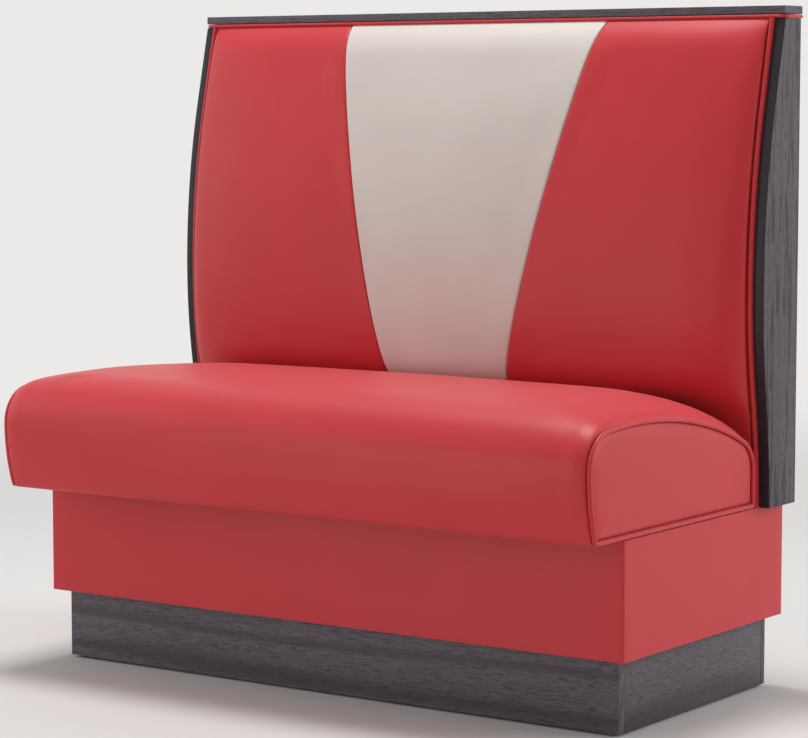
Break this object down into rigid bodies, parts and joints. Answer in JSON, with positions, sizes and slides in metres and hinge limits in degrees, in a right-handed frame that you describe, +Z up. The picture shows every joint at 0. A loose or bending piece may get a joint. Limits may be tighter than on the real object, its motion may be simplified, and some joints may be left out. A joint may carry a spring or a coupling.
{
  "type": "restaurant booth bench",
  "caption": "One-sided restaurant booth bench with a recessed plinth, covered base box, crowned sprung seat and a padded V-panel back between curved dark side panels.",
  "frame": {"origin": "on the floor under the middle of the outline", "axes": "+X along the bench, -Y the way the sitter faces, +Z up"},
  "size_m": [1.1454, 0.622, 1.071],
  "materials": {
    "red_vinyl": "smooth satin upholstery vinyl",
    "cream_vinyl": "smooth satin upholstery vinyl",
    "stained_oak": "charcoal stained oak, satin lacquer",
    "plywood": "raw birch plywood",
    "foam": "open cell foam",
    "zinc_steel": "zinc plated",
    "glide_steel": "zinc plated, worn",
    "felt_and_cambric": "matt black felt and cambric"
  },
  "bodies": {
    "bench": {"back_bolts": "zinc_steel", "back_cover_center": "cream_vinyl", "back_cover_left": "red_vinyl", "back_cover_right": "red_vinyl", "back_foam": "foam", "back_foot_rail": "plywood", "back_middle_rails": "plywood", "back_posts": "plywood", "back_rear_panel": "stained_oak", "back_side_left": "stained_oak", "back_side_right": "stained_oak", "back_straps": "felt_and_cambric", "back_top_rail": "plywood", "back_welt_left": "red_vinyl", "back_welt_right": "red_vinyl", "base_cover": "red_vinyl", "base_deck": "plywood", "base_divider": "plywood", "base_floor": "plywood", "base_front": "plywood", "base_left": "plywood", "base_rear": "plywood", "base_right": "plywood", "cap_rail": "stained_oak", "cap_welt": "red_vinyl", "glide_nuts": "zinc_steel", "plinth_blocks": "plywood", "plinth_front": "stained_oak", "plinth_left": "stained_oak", "plinth_rear": "stained_oak", "plinth_right": "stained_oak", "plinth_stretcher": "plywood"},
    "seat": {"seat_clips": "zinc_steel", "seat_cover": "red_vinyl", "seat_dust_cover": "felt_and_cambric", "seat_end_left": "red_vinyl", "seat_end_right": "red_vinyl", "seat_foam": "foam", "seat_hooks": "zinc_steel", "seat_rail_front": "plywood", "seat_rail_left": "plywood", "seat_rail_middle": "plywood", "seat_rail_rear": "plywood", "seat_rail_right": "plywood", "seat_runners": "felt_and_cambric", "seat_spring_pad": "felt_and_cambric", "seat_springs": "zinc_steel", "seat_welt_left": "red_vinyl", "seat_welt_right": "red_vinyl"},
    "glide_front_left": {"glide_front_left": "glide_steel"},
    "glide_front_right": {"glide_front_right": "glide_steel"},
    "glide_rear_left": {"glide_rear_left": "glide_steel"},
    "glide_rear_right": {"glide_rear_right": "glide_steel"}
  },
  "joints": [
    {"name": "seat_slide", "type": "slide", "parent": "bench", "child": "seat", "axis": [0, -1, 0], "range_m": [0, 0.034]},
    {"name": "glide_front_left_level", "type": "slide", "parent": "bench", "child": "glide_front_left", "axis": [0, 0, -1], "range_m": [0, 0.012]},
    {"name": "glide_front_right_level", "type": "slide", "parent": "bench", "child": "glide_front_right", "axis": [0, 0, -1], "range_m": [0, 0.012]},
    {"name": "glide_rear_left_level", "type": "slide", "parent": "bench", "child": "glide_rear_left", "axis": [0, 0, -1], "range_m": [0, 0.012]},
    {"name": "glide_rear_right_level", "type": "slide", "parent": "bench", "child": "glide_rear_right", "axis": [0, 0, -1], "range_m": [0, 0.012]}
  ]
}
